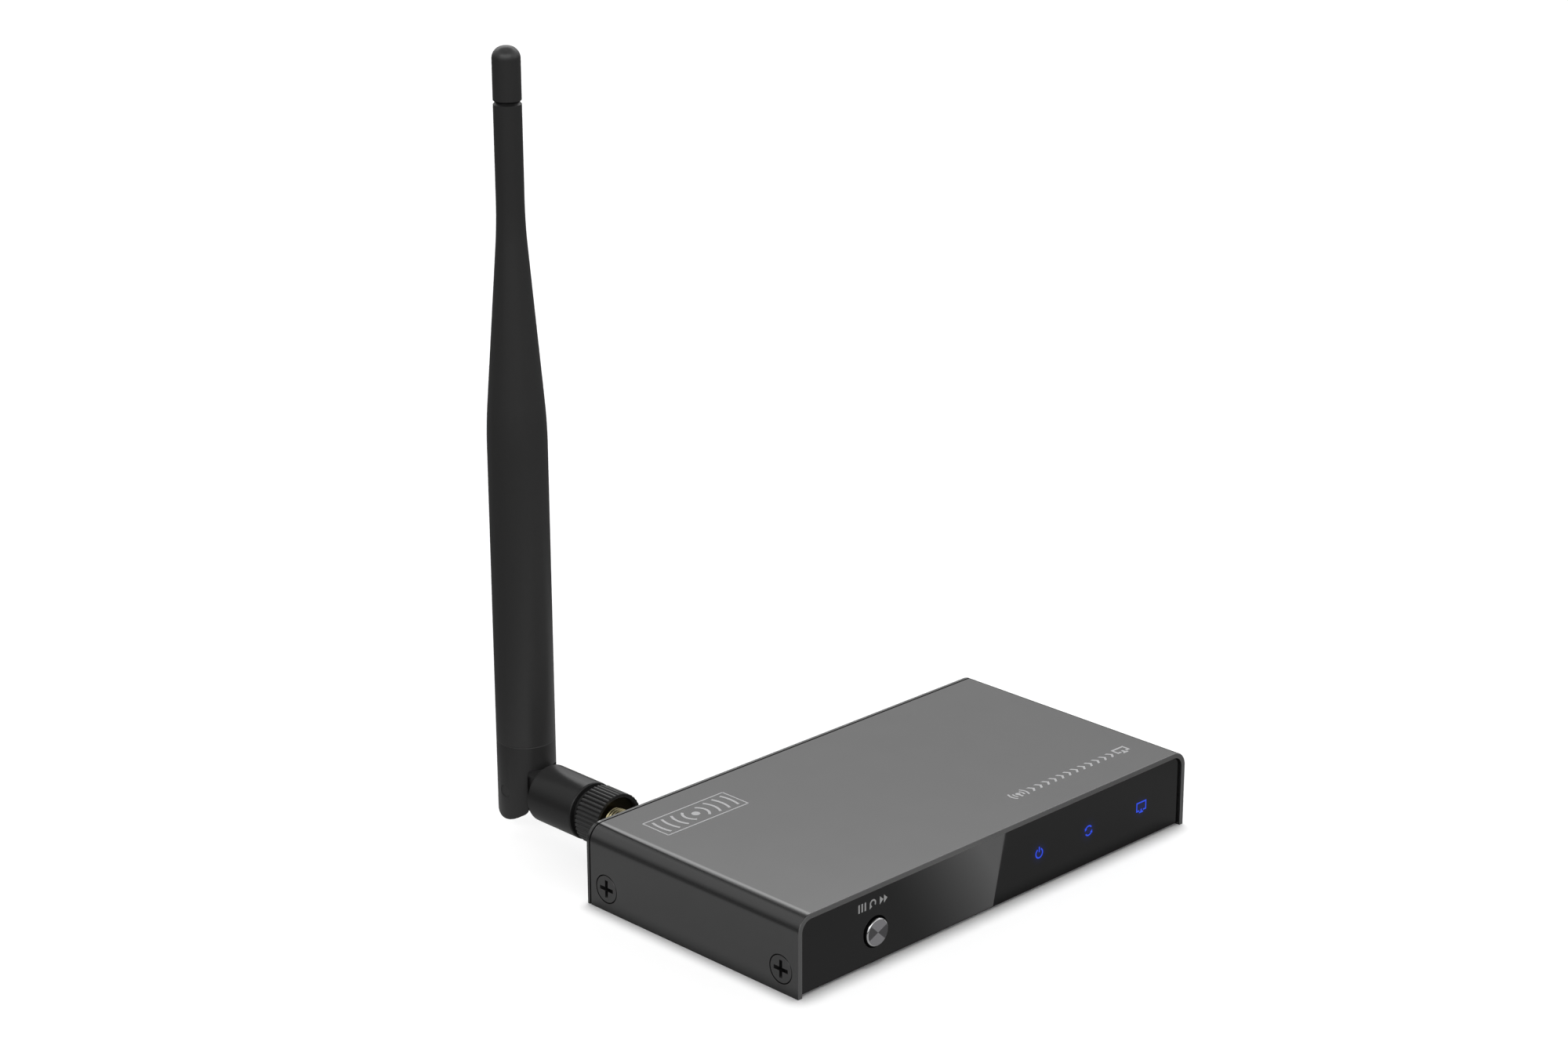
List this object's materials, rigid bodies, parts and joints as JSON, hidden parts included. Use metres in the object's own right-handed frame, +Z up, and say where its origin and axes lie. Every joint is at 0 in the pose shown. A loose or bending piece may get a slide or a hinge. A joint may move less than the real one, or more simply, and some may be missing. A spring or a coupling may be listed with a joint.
{
  "type": "wireless video receiver",
  "caption": "Flat sheet-metal receiver box with a recessed front panel, a reset button and a hinged whip antenna on a threaded rear jack.",
  "frame": {"origin": "middle of the flat underside of the enclosure", "axes": "+X to the right along the front, +Y from the front panel to the rear sockets, +Z up along the raised antenna"},
  "size_m": [0.12, 0.1098, 0.1739],
  "materials": {
    "enclosure_coat": "fine satin powder coat, dark grey",
    "screw_coat": "satin coat, dark grey",
    "front_black": "smoked black panel, smooth semi gloss",
    "button_metal": "spun face with a bright chamfered rim",
    "status_light": "blue light",
    "clear_guide": "clear moulded light guide",
    "inner_black": "moulded",
    "board_green": "solder mask",
    "sheet_clear": "thin insulating sheet",
    "chip_black": "moulded package",
    "pad_grey": "soft pad",
    "heatsink_metal": "extruded",
    "plated_steel": "plated",
    "gold_brass": "gold-plated",
    "aged_brass": "turned, darkened",
    "lead_jacket": "smooth jacket",
    "white_insulator": "turned",
    "nut_black": "satin black, straight knurl",
    "elbow_black": "satin black",
    "knuckle_black": "matte black",
    "whip_black": "soft matte black",
    "mark_print": "light grey print"
  },
  "bodies": {
    "receiver": {"top_cover": "enclosure_coat", "base_tray": "enclosure_coat", "cover_screws": "screw_coat", "front_panel": "front_black", "status_leds": "status_light", "light_guides": "clear_guide", "light_guide_holder": "inner_black", "reset_switch_body": "inner_black", "heatsink_pins": "inner_black", "video_socket_insulator": "inner_black", "power_jack_body": "inner_black", "smoothing_capacitors": "inner_black", "main_board": "board_green", "radio_board": "board_green", "insulation_sheet": "sheet_clear", "main_processor": "chip_black", "memory_chips": "chip_black", "firmware_chip": "chip_black", "power_inductors": "chip_black", "radio_chip": "chip_black", "thermal_pad": "pad_grey", "heatsink": "heatsink_metal", "clinch_nuts": "plated_steel", "board_standoffs": "plated_steel", "board_screws": "plated_steel", "clock_crystal": "plated_steel", "radio_shield": "plated_steel", "jack_lock_washer": "plated_steel", "jack_panel_nut": "plated_steel", "video_socket_shell": "plated_steel", "power_jack_pin": "plated_steel", "power_jack_spring": "plated_steel", "radio_antenna_socket": "gold_brass", "lead_plug": "gold_brass", "lead_ferrule": "gold_brass", "antenna_jack_body": "gold_brass", "antenna_jack_pin": "gold_brass", "video_socket_contacts": "gold_brass", "antenna_lead": "lead_jacket", "antenna_jack_insulator": "white_insulator"},
    "antenna_whip": {"hinge_pin": "knuckle_black", "hinge_knuckle": "knuckle_black", "whip_sleeve": "whip_black", "whip_tip_cap": "whip_black", "radiator_rod": "gold_brass", "choke_sleeve": "gold_brass", "radiator_spacers": "white_insulator"},
    "antenna_elbow": {"elbow_base": "elbow_black", "plug_barrel": "gold_brass", "plug_insulator": "white_insulator", "plug_contact": "gold_brass"},
    "coupling_nut": {"coupling_nut_shell": "nut_black", "coupling_nut_insert": "aged_brass"},
    "reset_button": {"reset_button_cap": "button_metal", "reset_button_stem": "inner_black", "reset_switch_plunger": "inner_black"}
  },
  "joints": [
    {"name": "reset_press", "type": "slide", "parent": "receiver", "child": "reset_button", "axis": [0, 1, 0], "range_m": [0, 0.0006], "stiffness_N_per_m": 1200},
    {"name": "nut_spin", "type": "hinge", "parent": "receiver", "child": "coupling_nut", "pos_m": [-0.0418, 0.045, 0.0093], "axis": [0, 1, 0], "continuous": true},
    {"name": "antenna_swivel", "type": "hinge", "parent": "receiver", "child": "antenna_elbow", "pos_m": [-0.0418, 0.057, 0.0093], "axis": [0, 1, 0], "continuous": true},
    {"name": "antenna_tilt", "type": "hinge", "parent": "antenna_elbow", "child": "antenna_whip", "pos_m": [-0.0418, 0.0717, 0.0093], "axis": [-1, 0, 0], "range_deg": [0, 90]}
  ]
}
